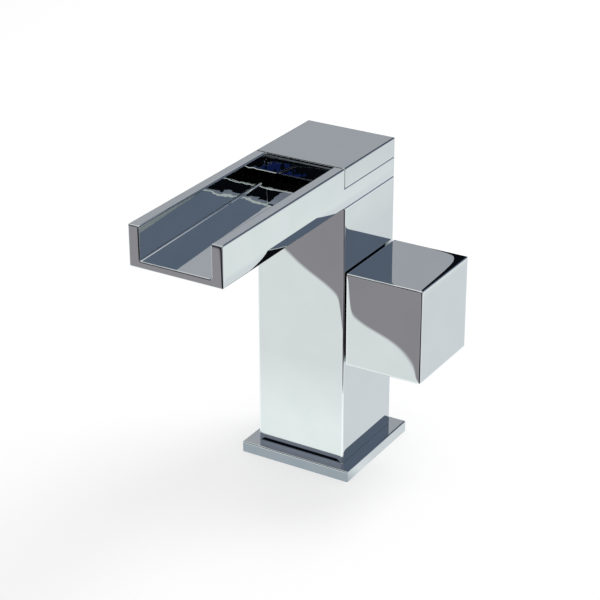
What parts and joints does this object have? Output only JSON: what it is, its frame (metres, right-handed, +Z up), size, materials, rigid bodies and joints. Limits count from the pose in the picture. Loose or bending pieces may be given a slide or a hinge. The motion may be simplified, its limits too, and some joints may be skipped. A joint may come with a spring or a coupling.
{
  "type": "waterfall basin tap",
  "caption": "Deck-mounted waterfall basin tap: square column on a square plate, open channel spout with a cover block, and a cube handle on the side that turns a ceramic disc cartridge.",
  "frame": {"origin": "centre of the base plate's underside, on the deck", "axes": "+Z up from the deck, the spout points towards -Y, and the handle stands on the +X side"},
  "size_m": [0.0793, 0.1311, 0.1338],
  "materials": {
    "polished_chrome": "mirror-polished chrome plate",
    "seal_rubber": "matt moulded rubber",
    "black_plastic": "fine moulded black",
    "grey_plastic": "moulded, glass-filled grey",
    "white_plastic": "moulded, slightly waxy white",
    "stainless_steel": "turned stainless",
    "fired_ceramic": "lapped alumina",
    "machined_brass": "turned brass"
  },
  "bodies": {
    "tap_body": {"base_plate": "polished_chrome", "foot_seal": "seal_rubber", "plate_ring": "seal_rubber", "column": "polished_chrome", "riser_ring": "seal_rubber", "spout": "polished_chrome", "cover_gasket": "seal_rubber", "spout_cover": "polished_chrome", "flow_diffuser": "black_plastic", "cover_screws": "stainless_steel", "spout_screws": "stainless_steel", "cartridge_base": "grey_plastic", "base_ring": "seal_rubber", "port_seals": "seal_rubber", "fixed_disc": "fired_ceramic", "cartridge_housing": "white_plastic", "cartridge_nut": "machined_brass", "stop_ring": "black_plastic"},
    "handle": {"moving_disc": "fired_ceramic", "disc_carrier": "grey_plastic", "spindle": "machined_brass", "spindle_ring": "seal_rubber", "handle_insert": "machined_brass", "handle_cube": "polished_chrome", "set_screw": "stainless_steel", "screw_cap": "grey_plastic", "glide_ring": "white_plastic"}
  },
  "joints": [
    {"name": "handle_turn", "type": "hinge", "parent": "tap_body", "child": "handle", "pos_m": [0.0374, 0, 0.07], "axis": [1, 0, 0], "range_deg": [0, 100]}
  ]
}
